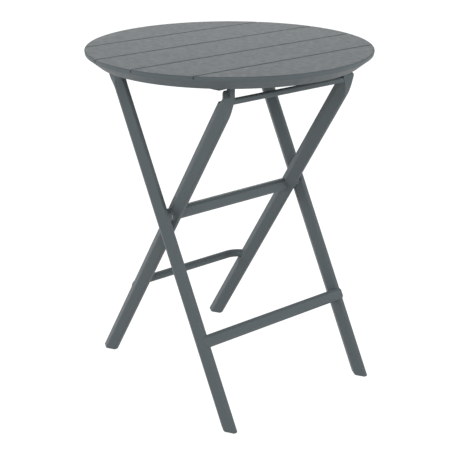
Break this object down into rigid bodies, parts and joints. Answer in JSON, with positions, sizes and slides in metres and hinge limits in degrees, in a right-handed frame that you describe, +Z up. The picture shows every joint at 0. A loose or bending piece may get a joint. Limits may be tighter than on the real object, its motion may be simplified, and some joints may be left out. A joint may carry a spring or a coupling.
{
  "type": "folding bistro table",
  "caption": "Round folding bistro table with a slatted moulded top on crossing leg frames that fold flat about a central axle.",
  "frame": {"origin": "on the floor under the middle of the round top", "axes": "+Z up; +Y along the pivot axle and the slats; +X towards the side where the outer frame's feet and front rail stand"},
  "size_m": [0.5999, 0.5998, 0.736],
  "materials": {
    "resin": "satin moulded",
    "fitting": "matte moulded",
    "foot": "satin moulded",
    "steel": "zinc plated"
  },
  "bodies": {
    "outer_frame": {"outer_leg_left": "resin", "outer_leg_right": "resin", "front_rail": "resin", "front_rail_screws": "steel", "pivot_bush_left": "fitting", "pivot_bush_right": "fitting", "outer_foot_left": "foot", "outer_foot_right": "foot"},
    "inner_frame": {"inner_leg_left": "resin", "inner_leg_right": "resin", "middle_rail": "resin", "pivot_axle": "steel", "pivot_washer_left": "steel", "pivot_washer_right": "steel", "head_rail": "resin", "head_rail_screws": "steel", "rear_bar": "resin", "inner_foot_left": "foot", "inner_foot_right": "foot"},
    "table_top": {"tabletop": "resin", "hinge_block_left": "fitting", "hinge_block_right": "fitting", "hinge_pin_left": "steel", "hinge_pin_right": "steel", "hinge_screws": "steel", "latch_catch_left": "fitting", "latch_catch_right": "fitting", "catch_screws": "steel"}
  },
  "joints": [
    {"name": "frame_fold", "type": "hinge", "parent": "outer_frame", "child": "inner_frame", "pos_m": [0.0133, 0, 0.406], "axis": [0, -1, 0], "range_deg": [0, 57.5]},
    {"name": "top_tilt", "type": "hinge", "parent": "outer_frame", "child": "table_top", "pos_m": [-0.13868, 0, 0.691], "axis": [0, -1, 0], "range_deg": [0, 115]}
  ],
  "couplings": [
    {"joint": "top_tilt", "follows": "frame_fold", "ratio": 2}
  ]
}
